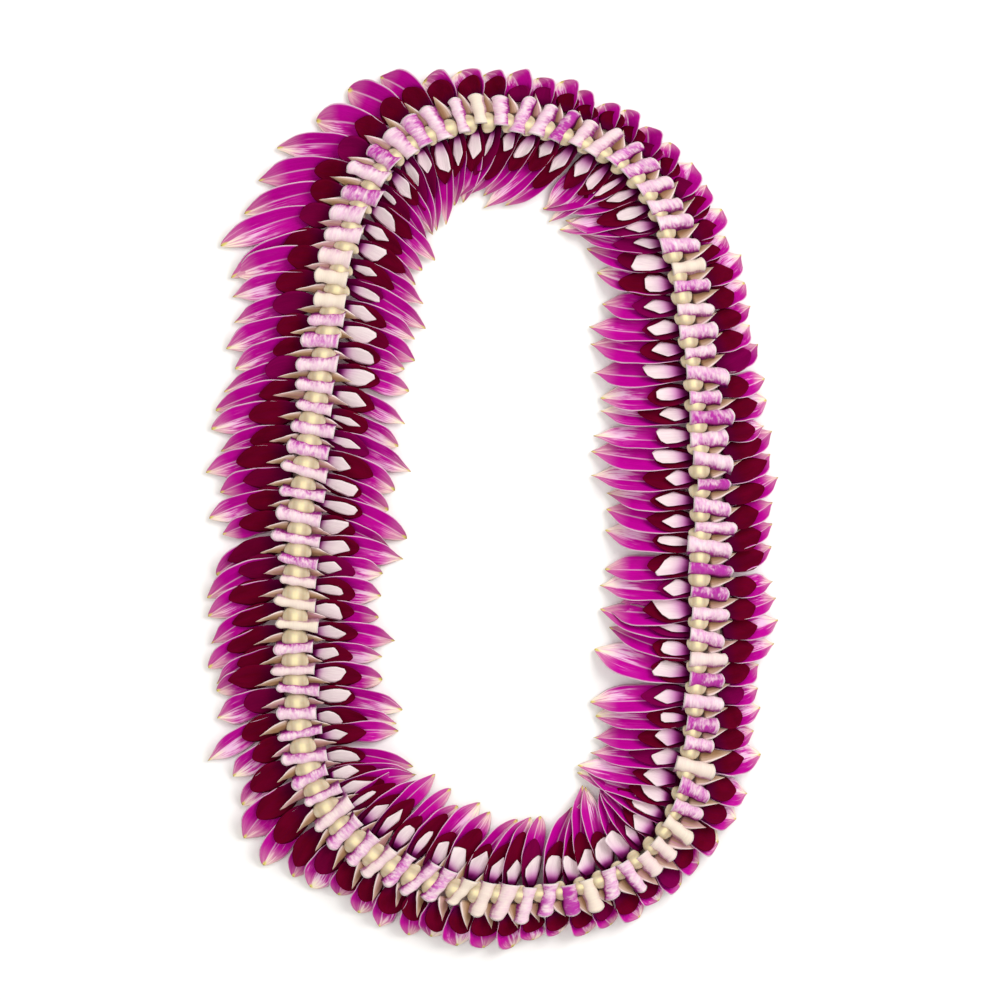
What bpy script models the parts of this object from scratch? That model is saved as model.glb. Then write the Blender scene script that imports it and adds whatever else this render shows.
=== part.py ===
"""Fresh flower lei: orchid blooms strung on a closed thread, laid flat as a long oval loop.

The loop runs anticlockwise seen from above.  Every bloom has two magenta petals and two
burgundy lip lobes (one of each towards the loop's hole, one of each away from it), a white
throat patch over the inner lobe, a pale petal rolled across the top, a cream column behind
the roll and two beige flaps beside the column.  Neighbouring blooms of one colour are fused
into short sections, which lie end to end round the thread.

Lengths are in millimetres up to the last step, which writes metres.
"""
import math
import random

import bmesh
import bpy
import numpy as np
from mathutils import Matrix, Vector

# ---------------------------------------------------------------- driving dimensions

BLOOM_COUNT = 93
SECTION_COUNT = 18
GAP = 0.3                 # clearance between neighbouring pieces
BLADE = 0.7               # thickness of petals, lobes, patches and rolls
SEED = 27

# Centreline of the loop from its top end, anticlockwise.
LOOP = [
    (-2, 190.5), (-49, 177), (-75, 131), (-82, 64), (-92.5, 4), (-95, -72), (-91, -129),
    (-61.5, -166.5), (-12, -187.5), (32, -189), (71.5, -173.5), (93.5, -145), (101, -95),
    (103.5, -36), (104, 22), (98.5, 76), (90.5, 126), (73, 162.5), (36, 181.5),
]
SMOOTHING = 900           # passes that even out the curve through these points

# Core round the thread: a six-sided tube with a flat underside.
CORE_FOOT = 5.0           # half the width of its underside
CORE_HALF_WIDTH = 7.0
CORE_TOP = 8.0
CORE_FACET = 1.6          # height of its upright sides, which the petals grow from
BORE_RADIUS = 1.7
BORE_HEIGHT = 3.6
THREAD_RADIUS = 0.6
THREAD_SAG = 0.3          # how far the thread lies below the middle of the bore
KNOT_RADIUS = 0.95

# Lip band over the core; the lobes grow from its sides.
LIP_BAND_BASE = CORE_TOP + 0.5
LIP_BAND_TOP = LIP_BAND_BASE + 1.6

# Pale strip over the lip band: it rises into a roll at each bloom and lies flat between.
FLAT_HEIGHT = LIP_BAND_TOP + 1.0
WAIST = 6.8               # half its width at the feet of a roll
FLAP_TIP = 10.5           # half its width at the flaps, where the roll comes down
ROLL_HALF_WIDTH = 2.8
ROLL_PLACE = 0.32         # place of the roll's middle along one pitch, as a fraction

# Column on the flat, given by its distances downstream of the roll's middle.
COLUMN_BASE = (3.9, 6.5)
COLUMN_CROWN = (4.2, 6.9)
COLUMN_HALF_WIDTH = 6.2
COLUMN_NARROWING = 0.82
COLUMN_HEIGHT = 5.6

# Petals.  Each has rows at its root, its broad part, its taper and its tip.
PETAL_HEIGHTS = (7.2, 7.6, 5.6, 2.4)
PETAL_TILT = 32           # degrees; the upstream edge is the higher one
PETAL_ROOT = 2.6          # half the width of a petal's root along the loop
INNER_PETAL = 5.8         # half the full width of the petals
OUTER_PETAL = 7.0
BROAD_SHARE = 0.42        # reach of the broad part, as a share of the tip's
BROAD_REACH = 15.0        # its least reach, for petals and lobes alike
TAPER_PLACE = 0.55        # place of the taper between the broad part and the tip
TAPER_WIDTH = 0.78        # its width, as a share of the full width
SWEEP_POWER = 0.6         # how the downstream lean grows along a petal
ROOM_LIMITS = (0.3, 1.03) # least and most room for a petal, as a share of the straight pitch
ROOM_POWER = 0.8          # how a petal's width follows its room

# Burgundy lobes over the petals, and white patches over the inner lobes.
LOBE_TILT = 27
LOBE_ROOT = 2.2
LOBE = 6.0                # half the full width
LOBE_LIFT = 2.3           # height over the petal
LOBE_REACH = 29.0
LOBE_SHARE = 0.87         # most that a lobe may reach, as a share of its petal's reach
LOBE_BROAD = 0.58         # place of its full width, as a share of its reach
LOBE_END_WIDTH = 0.42     # width of its blunt end, as a share of its full width
PATCH = 3.4
PATCH_LIFT = 4.0
PATCH_REACH = 24.5
PATCH_BROAD = 0.68
PATCH_ROOM_POWER = 1.2

# How far the petal tips reach from the centreline and how much they lean downstream there,
# as a slope, at fractions of the way round.
INNER_REACH = [(0.0, 45), (0.08, 44), (0.14, 49), (0.2, 46), (0.3, 47), (0.5, 45), (0.6, 52),
               (0.66, 52), (0.78, 55), (0.9, 50)]
OUTER_REACH = [(0.0, 21), (0.05, 33), (0.1, 46), (0.2, 45), (0.3, 43), (0.37, 41), (0.43, 28),
               (0.52, 19), (0.62, 27), (0.72, 34), (0.84, 28), (0.93, 19)]
INNER_SWEEP = [(0.0, 0.24), (0.3, 0.24), (0.45, 0.2), (0.64, 0.07), (0.82, 0.07), (0.92, 0.16)]
OUTER_SWEEP = [(0.0, 0.29)]

# Spread of what differs from bloom to bloom.
PLACE_SPREAD = 0.015      # share of a pitch
SKEW_SPREAD = 3           # degrees
SWEEP_SPREAD = 0.03
REACH_SHARES = (0.93, 1.05)
WIDTH_SHARES = (0.93, 1.05)
ROLL_HALF_LENGTHS = (9.4, 10.8)
ROLL_HEIGHTS = (6.0, 7.2)

COLOURS = {               # base colour and roughness of each kind of section
    "petals": ((0.45, 0.0, 0.26), 0.5),
    "lips": ((0.15, 0.0, 0.02), 0.6),
    "strips": ((0.82, 0.66, 0.62), 0.5),
    "thread": ((0.85, 0.83, 0.75), 0.7),
}

INNER, OUTER = 1, -1
UP = Vector((0, 0, 1))


# ---------------------------------------------------------------- the loop

def closed_curve(points, steps=40):
    """Positions along a smooth closed curve through the points."""
    ring = [np.array(p, float) for p in points]
    places = []
    for i in range(len(ring)):
        before, start, end, after = (ring[(i + k) % len(ring)] for k in (-1, 0, 1, 2))
        for step in range(steps):
            u = step / steps
            places.append(0.5 * (2 * start + (end - before) * u
                                 + (2 * before - 5 * start + 4 * end - after) * u ** 2
                                 + (3 * (start - end) + after - before) * u ** 3))
    return np.array(places)


class Spine:
    """The loop's centreline, measured by the fraction of the way round it."""

    def __init__(self, points):
        places = closed_curve(points)
        for _ in range(SMOOTHING):
            places = (np.roll(places, 1, 0) + 2 * places + np.roll(places, -1, 0)) / 4
        self.places = np.vstack([places, places[:1]])
        runs = np.linalg.norm(np.diff(self.places, axis=0), axis=1)
        self.length = runs.sum()
        self.fractions = np.concatenate([[0], np.cumsum(runs)]) / self.length

    def at(self, fraction):
        x, y = (np.interp(fraction % 1.0, self.fractions, self.places[:, k]) for k in (0, 1))
        return Vector((x, y, 0))

    def frame(self, fraction):
        """Position, direction downstream and direction towards the hole, all level."""
        step = 4 / self.length
        along = (self.at(fraction + step) - self.at(fraction - step)).normalized()
        return self.at(fraction), along, UP.cross(along)

    def bend(self, fraction):
        """Curvature of the centreline; positive where it curls round the hole."""
        step = 12
        before, after = (self.frame(fraction + k * step / self.length)[1] for k in (-1, 1))
        return before.cross(after).z / (2 * step)

    def point(self, fraction, inward, height):
        place, _, towards_hole = self.frame(fraction)
        return place + towards_hole * inward + UP * height


SPINE = Spine(LOOP)
PITCH = SPINE.length / BLOOM_COUNT
CUTS = [round(BLOOM_COUNT * k / SECTION_COUNT) / BLOOM_COUNT for k in range(SECTION_COUNT + 1)]


def blend(stops, fraction):
    """Value at a fraction of the way round, eased between (fraction, value) stops."""
    for (f0, v0), (f1, v1) in zip(stops, stops[1:] + [(1.0, stops[0][1])]):
        if f0 <= fraction < f1:
            return v0 + (v1 - v0) * (1 - math.cos(math.pi * (fraction - f0) / (f1 - f0))) / 2
    return stops[0][1]


# ---------------------------------------------------------------- blooms

class Bloom:
    """One bloom's place on the loop, with its own small irregularities."""

    def __init__(self, spine, index, draw):
        self.spine = spine
        shift = draw.uniform(-PLACE_SPREAD, PLACE_SPREAD)
        self.fraction = (index + ROLL_PLACE + shift) / BLOOM_COUNT
        self.centre, self.along, self.inward = spine.frame(self.fraction)
        self.bend = spine.bend(self.fraction)
        self.skew = math.radians(draw.uniform(-SKEW_SPREAD, SKEW_SPREAD))
        self.roll_half_length = draw.uniform(*ROLL_HALF_LENGTHS)
        self.roll_height = draw.uniform(*ROLL_HEIGHTS)
        self.reach = {
            side: blend(stops, self.fraction) * draw.uniform(*REACH_SHARES)
            for side, stops in ((INNER, INNER_REACH), (OUTER, OUTER_REACH))}
        self.sweep = {
            side: blend(stops, self.fraction) + draw.uniform(-SWEEP_SPREAD, SWEEP_SPREAD)
            for side, stops in ((INNER, INNER_SWEEP), (OUTER, OUTER_SWEEP))}
        self.fullness = draw.uniform(*WIDTH_SHARES)

    def point(self, downstream, inward, height):
        """Place given in the bloom's own straight frame."""
        return self.centre + self.along * downstream + self.inward * inward + UP * height

    def place(self, downstream, inward, height):
        """Place given along the bent centreline."""
        return self.spine.point(self.fraction + downstream / self.spine.length, inward, height)

    def room(self, side, reach):
        """Share of the straight pitch that the bend leaves at this reach."""
        least, most = ROOM_LIMITS
        return min(most, max(least, 1 - self.bend * side * reach))


class Arm:
    """The tilted surface on one side of a bloom that its petal, lobe and patch follow.

    The surface rises upstream, so that a bloom's petals lie shingled on the last one's.
    """

    def __init__(self, bloom, side):
        self.bloom = bloom
        self.side = side
        self.tip = bloom.reach[side]
        broad = max(BROAD_SHARE * self.tip, BROAD_REACH)
        taper = broad + TAPER_PLACE * (self.tip - broad)
        self.reaches = [CORE_HALF_WIDTH, broad, taper, self.tip]

    def row(self, reach, half_width, tilt, lift=0.0):
        """Four points round the blade's section at a reach, the upper upstream one first.

        A half width of zero gives the single point of a tip.
        """
        bloom = self.bloom
        height = float(np.interp(reach, self.reaches, PETAL_HEIGHTS))
        sweep = bloom.sweep[self.side] * (reach / self.tip) ** SWEEP_POWER
        slope = (1 + SWEEP_POWER) * sweep
        upstream = (bloom.inward * self.side * slope - bloom.along).normalized()
        tilt = math.radians(tilt)
        width = upstream * math.cos(tilt) + UP * math.sin(tilt)
        normal = UP * math.cos(tilt) - upstream * math.sin(tilt)
        room = bloom.room(self.side, reach)
        half_width *= bloom.fullness * room ** ROOM_POWER
        centre = bloom.point(sweep * reach, self.side * reach, height) + normal * lift * room
        if not half_width:
            return [centre]
        return [centre + width * a * half_width + normal * b * BLADE / 2
                for a, b in ((1, 1), (-1, 1), (-1, -1), (1, -1))]

    def petal_rows(self):
        full = INNER_PETAL if self.side == INNER else OUTER_PETAL
        return [self.row(self.reaches[1], full, PETAL_TILT),
                self.row(self.reaches[2], TAPER_WIDTH * full, PETAL_TILT),
                self.row(self.tip, 0, PETAL_TILT)]

    def lobe_rows(self):
        end = min(LOBE_REACH, LOBE_SHARE * self.tip)
        return [self.row(max(LOBE_BROAD * end, BROAD_REACH), LOBE, LOBE_TILT, LOBE_LIFT),
                self.row(end, LOBE_END_WIDTH * LOBE, LOBE_TILT, LOBE_LIFT)]

    def patch_rows(self):
        broad = PATCH_BROAD * PATCH_REACH
        half_width = PATCH * min(1, self.bloom.room(INNER, broad)) ** PATCH_ROOM_POWER
        return [self.row(broad, half_width, PETAL_TILT, PATCH_LIFT),
                self.row(PATCH_REACH, 0, PETAL_TILT, PATCH_LIFT)]


# ---------------------------------------------------------------- meshes

class Skin:
    """A closed surface made from rings of points, tube by tube and arm by arm."""

    def __init__(self):
        self.shape = bmesh.new()

    def ring(self, points):
        return [self.shape.verts.new(p) for p in points]

    def face(self, *corners):
        self.shape.faces.new(corners)

    def join(self, first, second, skip=()):
        """Skin between two equal rings; opposite sides are split along like diagonals."""
        sides = len(first)
        for i in range(sides):
            j = (i + 1) % sides
            if i in skip:
                continue
            if i < sides // 2:
                self.face(first[i], first[j], second[j])
                self.face(first[i], second[j], second[i])
            else:
                self.face(first[i], first[j], second[i])
                self.face(first[j], second[j], second[i])

    def cap(self, ring):
        for a, b in zip(ring[1:], ring[2:]):
            self.face(ring[0], a, b)

    def arm(self, root, rows):
        """Blade grown from a root of four vertices through rows of four points.

        A last row of one point is a pointed tip; otherwise the last row is capped.
        """
        near = root
        for points in rows:
            far = self.ring(points)
            if len(far) == 1:
                for i in range(4):
                    self.face(near[i], near[(i + 1) % 4], far[0])
                return
            self.join(near, far)
            near = far
        self.cap(near)

    def mesh(self, name):
        bmesh.ops.recalc_face_normals(self.shape, faces=self.shape.faces)
        mesh = bpy.data.meshes.new(name)
        self.shape.to_mesh(mesh)
        self.shape.free()
        return mesh


# ---------------------------------------------------------------- sections

class Section:
    """A run of neighbouring blooms between two cuts across the loop."""

    def __init__(self, spine, number, blooms):
        self.spine = spine
        first, last = CUTS[number:number + 2]
        self.blooms = blooms[round(first * BLOOM_COUNT):round(last * BLOOM_COUNT)]
        margin = GAP / 2 / spine.length
        self.start = first + margin
        self.end = last - margin

    def outline(self, fraction, profile):
        return [self.spine.point(fraction, *p) for p in profile]

    def tube(self, skin, profile, root, roots, rows):
        """Tube along the section; each bloom's arms grow out of two of its sides.

        The profile is a list of (inward, height) points.  root is half the length of an
        arm's root.  roots gives, for each side of a bloom, which side of the profile its arm
        grows from, and that side's upper and lower corner.
        """
        ends = [skin.ring(self.outline(f, profile)) for f in (self.start, self.end)]
        last = ends[0]
        for bloom in self.blooms:
            step = root / self.spine.length
            before, after = (skin.ring(self.outline(bloom.fraction + k * step, profile))
                             for k in (-1, 1))
            skin.join(last, before)
            skin.join(before, after, skip=[start for start, _, _ in roots.values()])
            for side, (_, upper, lower) in roots.items():
                skin.arm([before[upper], after[upper], after[lower], before[lower]],
                         rows(Arm(bloom, side)))
            last = after
        skin.join(last, ends[1])
        return ends

    def petals(self):
        skin = Skin()
        shoulder = CORE_TOP - CORE_FACET
        profile = [(-CORE_FOOT, 0), (CORE_FOOT, 0), (CORE_HALF_WIDTH, shoulder),
                   (CORE_HALF_WIDTH, CORE_TOP), (-CORE_HALF_WIDTH, CORE_TOP),
                   (-CORE_HALF_WIDTH, shoulder)]
        ends = self.tube(skin, profile, PETAL_ROOT,
                         {INNER: (2, 3, 2), OUTER: (4, 4, 5)}, Arm.petal_rows)
        turns = [math.radians(a) for a in (240, 300, 0, 60, 120, 180)]
        bore = [(BORE_RADIUS * math.cos(a), BORE_HEIGHT + BORE_RADIUS * math.sin(a)) for a in turns]
        rings = [skin.ring(self.outline(f, bore))
                 for f in (self.start, (self.start + self.end) / 2, self.end)]
        skin.join(rings[0], rings[1])
        skin.join(rings[1], rings[2])
        skin.join(ends[0], rings[0])
        skin.join(ends[1], rings[2])
        return skin.mesh("petals")

    def lips(self):
        skin = Skin()
        half = CORE_HALF_WIDTH
        profile = [(-half, LIP_BAND_BASE), (half, LIP_BAND_BASE),
                   (half, LIP_BAND_TOP), (-half, LIP_BAND_TOP)]
        ends = self.tube(skin, profile, LOBE_ROOT,
                         {INNER: (1, 2, 1), OUTER: (3, 3, 0)}, Arm.lobe_rows)
        skin.cap(ends[0])
        skin.cap(ends[1])
        return skin.mesh("lips")

    def strips(self):
        """Strip of rolls and flats, with a column on each flat and a patch from each roll."""
        skin = Skin()
        half = float(np.interp((1 - ROLL_PLACE) * PITCH,
                               [ROLL_HALF_WIDTH, PITCH - ROLL_HALF_WIDTH], [FLAP_TIP, WAIST]))
        lower, upper = FLAT_HEIGHT - BLADE / 2, FLAT_HEIGHT + BLADE / 2
        profile = [(-half, lower), (half, lower), (half, upper), (-half, upper)]
        ends = [skin.ring(self.outline(f, profile)) for f in (self.start, self.end)]
        rolls = [[skin.ring(points) for points in roll_rings(bloom)] for bloom in self.blooms]
        skin.cap(ends[0])
        skin.cap(ends[1])
        skin.join(ends[0], rolls[0][0])
        for i, (bloom, roll) in enumerate(zip(self.blooms, rolls)):
            foot, shoulder, flap = roll[0], roll[1], roll[-1]
            after = rolls[i + 1][0] if i + 1 < len(rolls) else ends[1]
            skin.join(foot, shoulder, skip=[1])
            skin.arm([shoulder[1], foot[1], foot[2], shoulder[2]], Arm(bloom, INNER).patch_rows())
            for first, second in zip(roll[1:], roll[2:]):
                skin.join(first, second)
            skin.join(flap, after, skip=[2])
            add_column(skin, bloom, [flap[2], flap[3], after[3], after[2]])
        return skin.mesh("strips")


def roll_rings(bloom):
    """Rings of the strip at one bloom: up over the roll and down to the flap tips."""
    wide, long, tall = ROLL_HALF_WIDTH, bloom.roll_half_length, bloom.roll_height
    path = [(-wide, WAIST, 0), (-0.8 * wide, long, 0.7 * tall), (0, 0.95 * long, tall),
            (0.8 * wide, long, 0.7 * tall), (wide, FLAP_TIP, 0)]
    places = [Vector((downstream, height)) for downstream, _, height in path]
    lead_in, lead_out = places[0] - Vector((1, 0)), places[-1] + Vector((1, 0))
    rings = []
    for k, (downstream, half, height) in enumerate(path):
        before = places[k - 1] if k else lead_in
        after = places[k + 1] if k + 1 < len(path) else lead_out
        normals = [Vector((a.y - b.y, b.x - a.x)).normalized()
                   for a, b in ((before, places[k]), (places[k], after))]
        mitre = (normals[0] + normals[1]) / (1 + normals[0].dot(normals[1])) * BLADE / 2
        shear = math.tan(bloom.skew) if height else 0
        rings.append([bloom.place(downstream + shear * side * half + up * mitre.x, side * half,
                                  FLAT_HEIGHT + height + up * mitre.y)
                      for side, up in ((-1, -1), (1, -1), (1, 1), (-1, 1))])
    return rings


def add_column(skin, bloom, flat):
    """Cream column raised from the middle of a flat of the strip."""
    rings = [flat]
    for (near, far), half, height in ((COLUMN_BASE, COLUMN_HALF_WIDTH, BLADE / 2),
                                      (COLUMN_CROWN, COLUMN_NARROWING * COLUMN_HALF_WIDTH,
                                       COLUMN_HEIGHT)):
        rings.append(skin.ring([bloom.place(t, side * half, FLAT_HEIGHT + height)
                                for t, side in ((near, 1), (near, -1), (far, -1), (far, 1))]))
    skin.join(rings[0], rings[1])
    skin.join(rings[1], rings[2])
    skin.cap(rings[2])


def add_object(name, mesh, collection, material):
    node = bpy.data.objects.new(name, mesh)
    collection.objects.link(node)
    node.data.materials.append(material)
    return node


def build_thread(collection, material):
    """Closed thread through the bores, with its knot joined on."""
    height = BORE_HEIGHT - THREAD_SAG
    route = bpy.data.curves.new("thread route", "CURVE")
    route.dimensions = "3D"
    route.bevel_depth = THREAD_RADIUS
    route.bevel_resolution = 0
    route.fill_mode = "FULL"
    spline = route.splines.new("POLY")
    spline.points.add(2 * SECTION_COUNT - 1)
    for k, (start, end) in enumerate(zip(CUTS, CUTS[1:])):
        spline.points[2 * k].co = (*SPINE.point(start, 0, height), 1)
        spline.points[2 * k + 1].co = (*SPINE.point((start + end) / 2, 0, height), 1)
    spline.use_cyclic_u = True
    guide = bpy.data.objects.new("thread route", route)
    collection.objects.link(guide)
    bpy.context.view_layer.update()
    mesh = bpy.data.meshes.new_from_object(
        guide.evaluated_get(bpy.context.evaluated_depsgraph_get()))
    bpy.data.objects.remove(guide)
    thread = add_object("lei_thread", mesh, collection, material)

    bead = bmesh.new()
    place = Matrix.Translation(SPINE.point((CUTS[0] + CUTS[1]) / 2, 0, height))
    bmesh.ops.create_icosphere(bead, subdivisions=1, radius=KNOT_RADIUS, matrix=place)
    mesh = bpy.data.meshes.new("knot")
    bead.to_mesh(mesh)
    bead.free()
    knot = add_object("knot", mesh, collection, material)
    union = thread.modifiers.new("Knot", "BOOLEAN")
    union.operation = "UNION"
    union.object = knot
    bpy.context.view_layer.update()
    thread.data = bpy.data.meshes.new_from_object(
        thread.evaluated_get(bpy.context.evaluated_depsgraph_get()))
    thread.modifiers.clear()
    bpy.data.objects.remove(knot)
    return thread


def new_material(name, colour, roughness):
    material = bpy.data.materials.new(name)
    material.use_nodes = True
    shader = material.node_tree.nodes["Principled BSDF"]
    shader.inputs["Base Color"].default_value = (*colour, 1)
    shader.inputs["Roughness"].default_value = roughness
    return material


def to_metres(nodes):
    """Puts the origin under the middle of the lei and turns millimetres into metres."""
    corners = np.array([v.co for node in nodes for v in node.data.vertices])
    low, high = corners.min(0), corners.max(0)
    middle = Vector(((low[0] + high[0]) / 2, (low[1] + high[1]) / 2, low[2]))
    for node in nodes:
        node.data.transform(Matrix.Scale(0.001, 4) @ Matrix.Translation(-middle))
    print("size in mm:", [round(float(v), 1) for v in high - low])
    print("centreline", round(SPINE.length), "mm, pitch", round(PITCH, 2), "mm")
    print("triangles:", sum(len(node.data.polygons) for node in nodes))


def main():
    for leftover in list(bpy.data.objects):
        bpy.data.objects.remove(leftover)
    parts = bpy.data.collections.new("fresh flower lei")
    bpy.context.scene.collection.children.link(parts)
    materials = {kind: new_material(kind, *look) for kind, look in COLOURS.items()}

    draw = random.Random(SEED)
    blooms = [Bloom(SPINE, index, draw) for index in range(BLOOM_COUNT)]
    nodes = [build_thread(parts, materials["thread"])]
    for number in range(SECTION_COUNT):
        section = Section(SPINE, number, blooms)
        for kind, build in (("petals", section.petals), ("lips", section.lips),
                            ("strips", section.strips)):
            name = f"{kind}_{number + 1:02d}"
            nodes.append(add_object(name, build(), parts, materials[kind]))
    to_metres(nodes)


main()
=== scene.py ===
# %% [markdown]
# # A fresh flower lei
#
# A lei of this kind is strung from orchid blooms that are threaded close together and combed
# one way round.  Each bloom shows the same parts: two magenta petals, two burgundy lip lobes,
# a white throat patch, a pale petal rolled over the top, a cream column behind the roll and two
# beige folds beside the column.  About ninety blooms repeat along one closed thread.  So the
# script first finds each bloom's place on the loop, and then one rule makes each kind of part.

# %% The fixed model and the tools
import math
import random
from functools import partialmethod

import bmesh
import bpy
import numpy as np
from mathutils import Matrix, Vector


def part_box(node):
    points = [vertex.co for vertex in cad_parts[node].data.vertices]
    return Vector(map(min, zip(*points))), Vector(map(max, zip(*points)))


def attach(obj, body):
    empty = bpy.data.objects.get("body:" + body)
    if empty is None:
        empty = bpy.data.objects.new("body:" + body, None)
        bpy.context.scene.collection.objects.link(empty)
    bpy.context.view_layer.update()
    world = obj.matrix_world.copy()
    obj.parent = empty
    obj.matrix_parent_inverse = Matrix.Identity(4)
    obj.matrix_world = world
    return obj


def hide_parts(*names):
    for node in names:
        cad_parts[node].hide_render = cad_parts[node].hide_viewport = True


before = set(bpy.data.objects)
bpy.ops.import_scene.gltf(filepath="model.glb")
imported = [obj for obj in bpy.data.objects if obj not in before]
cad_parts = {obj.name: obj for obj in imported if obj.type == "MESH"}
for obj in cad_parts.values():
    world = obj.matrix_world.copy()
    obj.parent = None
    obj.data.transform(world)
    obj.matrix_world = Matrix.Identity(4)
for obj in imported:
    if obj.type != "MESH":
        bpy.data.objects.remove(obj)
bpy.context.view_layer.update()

# %% [markdown]
# ## The loop
#
# The thread lies in a long oval.  A smooth closed curve through a few points gives its
# centreline, and anything on the lei is placed by how far round the loop it is, how far it
# is from the centreline towards the hole, and how high it is.  A curve object could hold
# the same path, but plain arrays are easier to ask for a bend or a direction.

# %% Points of the loop
MM = 0.001
UP = Vector((0, 0, 1))
BLOOM_COUNT = 93
SECTION_COUNT = 18
LOOP = [
    (-2, 190.5), (-49, 177), (-75, 131), (-82, 64), (-92.5, 4), (-95, -72), (-91, -129),
    (-61.5, -166.5), (-12, -187.5), (32, -189), (71.5, -173.5), (93.5, -145), (101, -95),
    (103.5, -36), (104, 22), (98.5, 76), (90.5, 126), (73, 162.5), (36, 181.5),
]
print(len(LOOP), "points in mm,", BLOOM_COUNT, "blooms")

# %% Centreline of the loop
SMOOTHING = 900           # passes that even out the curve through these points
FRAME_STEP = 4 * MM       # how far to each side a direction is measured
BEND_STEP = 12 * MM


def closed_curve(points, steps=40):
    """Positions along a smooth closed curve through the points."""
    ring = [np.array(p, float) for p in points]
    places = []
    for i in range(len(ring)):
        before, start, end, after = (ring[(i + k) % len(ring)] for k in (-1, 0, 1, 2))
        for step in range(steps):
            u = step / steps
            places.append(0.5 * (2 * start + (end - before) * u
                                 + (2 * before - 5 * start + 4 * end - after) * u ** 2
                                 + (3 * (start - end) + after - before) * u ** 3))
    return np.array(places)


class Spine:
    """The loop's centreline, measured by the fraction of the way round it."""

    def __init__(self, points):
        places = closed_curve(points)
        for _ in range(SMOOTHING):
            places = (np.roll(places, 1, 0) + 2 * places + np.roll(places, -1, 0)) / 4
        thread_low, thread_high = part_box("lei_thread")
        middle = np.array((thread_low + thread_high).xy) / 2
        places = MM * places
        places += middle - (places.min(0) + places.max(0)) / 2
        self.places = np.vstack([places, places[:1]])
        runs = np.linalg.norm(np.diff(self.places, axis=0), axis=1)
        self.length = runs.sum()
        self.fractions = np.concatenate([[0], np.cumsum(runs)]) / self.length

    def at(self, fraction):
        x, y = (np.interp(fraction % 1.0, self.fractions, self.places[:, k]) for k in (0, 1))
        return Vector((x, y, 0))

    def frame(self, fraction):
        """Position, direction downstream and direction towards the hole, all level."""
        step = FRAME_STEP / self.length
        along = (self.at(fraction + step) - self.at(fraction - step)).normalized()
        return self.at(fraction), along, UP.cross(along)

    def bend(self, fraction):
        """Curvature of the centreline; positive where it curls round the hole."""
        before, after = (self.frame(fraction + k * BEND_STEP / self.length)[1]
                         for k in (-1, 1))
        return before.cross(after).z / (2 * BEND_STEP)


SPINE = Spine(LOOP)
PITCH = SPINE.length / BLOOM_COUNT
print(f"centreline {SPINE.length:.3f} m, {1000 * PITCH:.2f} mm from bloom to bloom")

# %% [markdown]
# ## The blooms
#
# No two blooms are alike, so each one draws its own sizes from a seeded generator: how far
# its petals reach, how strongly they sweep downstream, how long and how high its roll is.
# The reach also changes slowly round the loop, because the petals hang down where the outer
# side of the lei turns towards the surface.

# %% One bloom's place and sizes
SEED = 27
ROLL_PLACE = 0.32         # place of a roll's middle along one pitch
INNER, OUTER = 1, -1
INNER_REACH = [(0, 45), (0.08, 44), (0.14, 49), (0.2, 46), (0.3, 47), (0.5, 45), (0.6, 52),
               (0.66, 52), (0.78, 55), (0.9, 50)]
OUTER_REACH = [(0, 21), (0.05, 33), (0.1, 46), (0.2, 45), (0.3, 43), (0.37, 41), (0.43, 28),
               (0.52, 19), (0.62, 27), (0.72, 34), (0.84, 28), (0.93, 19)]
INNER_SWEEP = [(0, 0.24), (0.3, 0.24), (0.45, 0.2), (0.64, 0.07), (0.82, 0.07), (0.92, 0.16)]
OUTER_SWEEP = [(0, 0.29)]
PLACE_SPREAD = 0.015      # share of a pitch
SKEW_SPREAD = 3           # degrees
SWEEP_SPREAD = 0.03
REACH_SHARES = (0.93, 1.05)
WIDTH_SHARES = (0.93, 1.05)
ROLL_HALF_LENGTHS = (9.4, 10.8)
ROLL_HEIGHTS = (6, 7.2)


def blend(stops, fraction):
    """Value at a fraction of the way round, eased between (fraction, value) stops."""
    for (f0, v0), (f1, v1) in zip(stops, stops[1:] + [(1.0, stops[0][1])]):
        if f0 <= fraction < f1:
            return v0 + (v1 - v0) * (1 - math.cos(math.pi * (fraction - f0) / (f1 - f0))) / 2
    return stops[0][1]


class Bloom:
    """One bloom's place on the loop, with its own small irregularities."""

    def __init__(self, index, draw):
        shift = draw.uniform(-PLACE_SPREAD, PLACE_SPREAD)
        self.fraction = (index + ROLL_PLACE + shift) / BLOOM_COUNT
        self.centre, self.along, self.inward = SPINE.frame(self.fraction)
        self.bend = SPINE.bend(self.fraction)
        self.skew = math.radians(draw.uniform(-SKEW_SPREAD, SKEW_SPREAD))
        self.roll_half_length = draw.uniform(*ROLL_HALF_LENGTHS) * MM
        self.roll_height = draw.uniform(*ROLL_HEIGHTS) * MM
        self.reach = {
            side: blend(stops, self.fraction) * draw.uniform(*REACH_SHARES) * MM
            for side, stops in ((INNER, INNER_REACH), (OUTER, OUTER_REACH))}
        self.sweep = {
            side: blend(stops, self.fraction) + draw.uniform(-SWEEP_SPREAD, SWEEP_SPREAD)
            for side, stops in ((INNER, INNER_SWEEP), (OUTER, OUTER_SWEEP))}
        self.fullness = draw.uniform(*WIDTH_SHARES)


draw = random.Random(SEED)
blooms = [Bloom(index, draw) for index in range(BLOOM_COUNT)]
longest = max(bloom.reach[INNER] for bloom in blooms)
print(len(blooms), "blooms; the longest inner petal reaches", round(1000 * longest), "mm")

# %% [markdown]
# ## Writing formulas as nodes
#
# A petal's surface follows a formula, and Geometry Nodes work it out for every point at once.
# Long chains of Math nodes are hard to read when they are built one by one.  The class below
# wraps a node's output, so that `a * b + c` adds the right nodes to the tree.  The same class
# serves the shader groups further down.

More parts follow.
